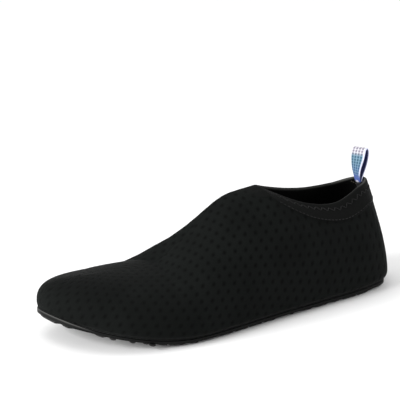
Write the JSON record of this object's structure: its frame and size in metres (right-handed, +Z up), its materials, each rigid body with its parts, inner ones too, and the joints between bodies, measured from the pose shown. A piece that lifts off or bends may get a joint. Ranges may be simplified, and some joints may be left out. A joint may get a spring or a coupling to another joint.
{
  "type": "water shoe",
  "caption": "Low slip-on water shoe for the left foot: thin lugged rubber sole with toe spring and arch, hollow stretch fabric upper with folded collar hem, insole and pull loop.",
  "frame": {"origin": "centre of the bounding box at the level of the tread, so the shoe stands on Z = 0", "axes": "toe towards -X, heel towards +X, outer side of the foot towards -Y, inner side towards +Y, up is +Z"},
  "size_m": [0.25, 0.0939, 0.0903],
  "materials": {
    "black_rubber": "matt moulded rubber, slightly worn",
    "black_knit": "matt black stretch knit with embossed dimples",
    "grey_foam": "dark brushed textile over thin foam",
    "blue_tape": "woven tape, light blue and white outside, navy inside"
  },
  "bodies": {
    "root": {"outsole": "black_rubber", "upper": "black_knit", "insole": "grey_foam", "pull_loop": "blue_tape"}
  },
  "joints": []
}
